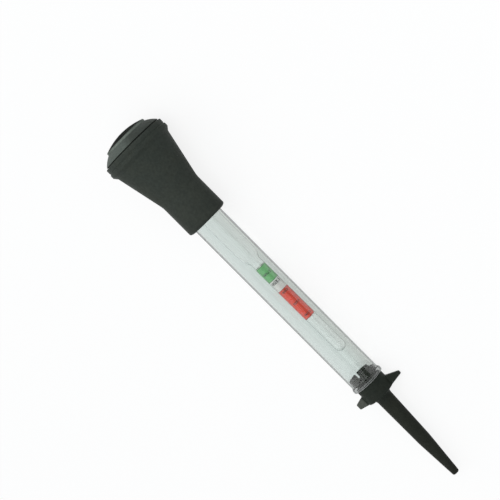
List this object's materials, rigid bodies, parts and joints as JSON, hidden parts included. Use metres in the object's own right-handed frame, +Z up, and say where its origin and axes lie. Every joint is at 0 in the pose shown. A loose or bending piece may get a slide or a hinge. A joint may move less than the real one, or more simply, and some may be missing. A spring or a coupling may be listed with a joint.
{
  "type": "battery hydrometer",
  "caption": "Syringe battery hydrometer: stepped rubber squeeze bulb, clear glass barrel, weighted glass float with a colour-zoned scale, and a winged rubber nozzle with a long tapered spout.",
  "frame": {"origin": "centre of the bounding box, on the floor that the bulb's band and the barrel's bead rest on", "axes": "+Z up, +X along the tool from the spout to the bulb (the tool's own axis rises 3.4 degrees towards the bulb), -Y on the side of the long wing"},
  "size_m": [0.2846, 0.0448, 0.0449],
  "materials": {
    "barrel_glass": "clear drawn glass tube, faint green tint, fire-polished ends",
    "float_glass": "clear blown glass, thin wall",
    "bulb_rubber": "moulded rubber, satin, dark grey with a green cast",
    "nozzle_rubber": "moulded rubber, satin, near black",
    "scale_print": "printed paper strip with a green, a pale and a red zone",
    "ballast_wax": "cast sealing wax",
    "lead_shot": "dull grey tumbled shot"
  },
  "bodies": {
    "barrel": {"glass_barrel": "barrel_glass"},
    "bulb": {"bulb_body": "bulb_rubber", "bulb_shoulder": "bulb_rubber"},
    "bulb_pad": {"bulb_end_pad": "bulb_rubber"},
    "nozzle": {"nozzle": "nozzle_rubber"},
    "float": {"float_envelope": "float_glass", "stem_tip_seal": "float_glass", "scale_strip": "scale_print", "ballast_seal": "ballast_wax", "ballast_shot_01": "lead_shot", "ballast_shot_02": "lead_shot", "ballast_shot_03": "lead_shot", "ballast_shot_04": "lead_shot", "ballast_shot_05": "lead_shot", "ballast_shot_06": "lead_shot", "ballast_shot_07": "lead_shot", "ballast_shot_08": "lead_shot", "ballast_shot_09": "lead_shot", "ballast_shot_10": "lead_shot", "ballast_shot_11": "lead_shot", "ballast_shot_12": "lead_shot", "ballast_shot_13": "lead_shot", "ballast_shot_14": "lead_shot", "ballast_shot_15": "lead_shot", "ballast_shot_16": "lead_shot", "ballast_shot_17": "lead_shot", "ballast_shot_18": "lead_shot", "ballast_shot_19": "lead_shot", "ballast_shot_20": "lead_shot", "ballast_shot_21": "lead_shot", "ballast_shot_22": "lead_shot", "ballast_shot_23": "lead_shot", "ballast_shot_24": "lead_shot", "ballast_shot_25": "lead_shot", "ballast_shot_26": "lead_shot", "ballast_shot_27": "lead_shot", "ballast_shot_28": "lead_shot", "ballast_shot_29": "lead_shot"}
  },
  "joints": [
    {"name": "bulb_pull", "type": "slide", "parent": "barrel", "child": "bulb", "axis": [0.9983, 0, 0.0589], "range_m": [0, 0.0226]},
    {"name": "bulb_press", "type": "slide", "parent": "bulb", "child": "bulb_pad", "axis": [-0.9983, 0, -0.0589], "range_m": [0, 0.007], "stiffness_N_per_m": 700, "deforming": ["bulb_shoulder"]},
    {"name": "nozzle_pull", "type": "slide", "parent": "barrel", "child": "nozzle", "axis": [-0.9983, 0, -0.0589], "range_m": [0, 0.0077]},
    {"name": "float_slide", "type": "slide", "parent": "barrel", "child": "float", "axis": [0.9983, 0, 0.0589], "range_m": [-0.0161, 0.041]}
  ]
}
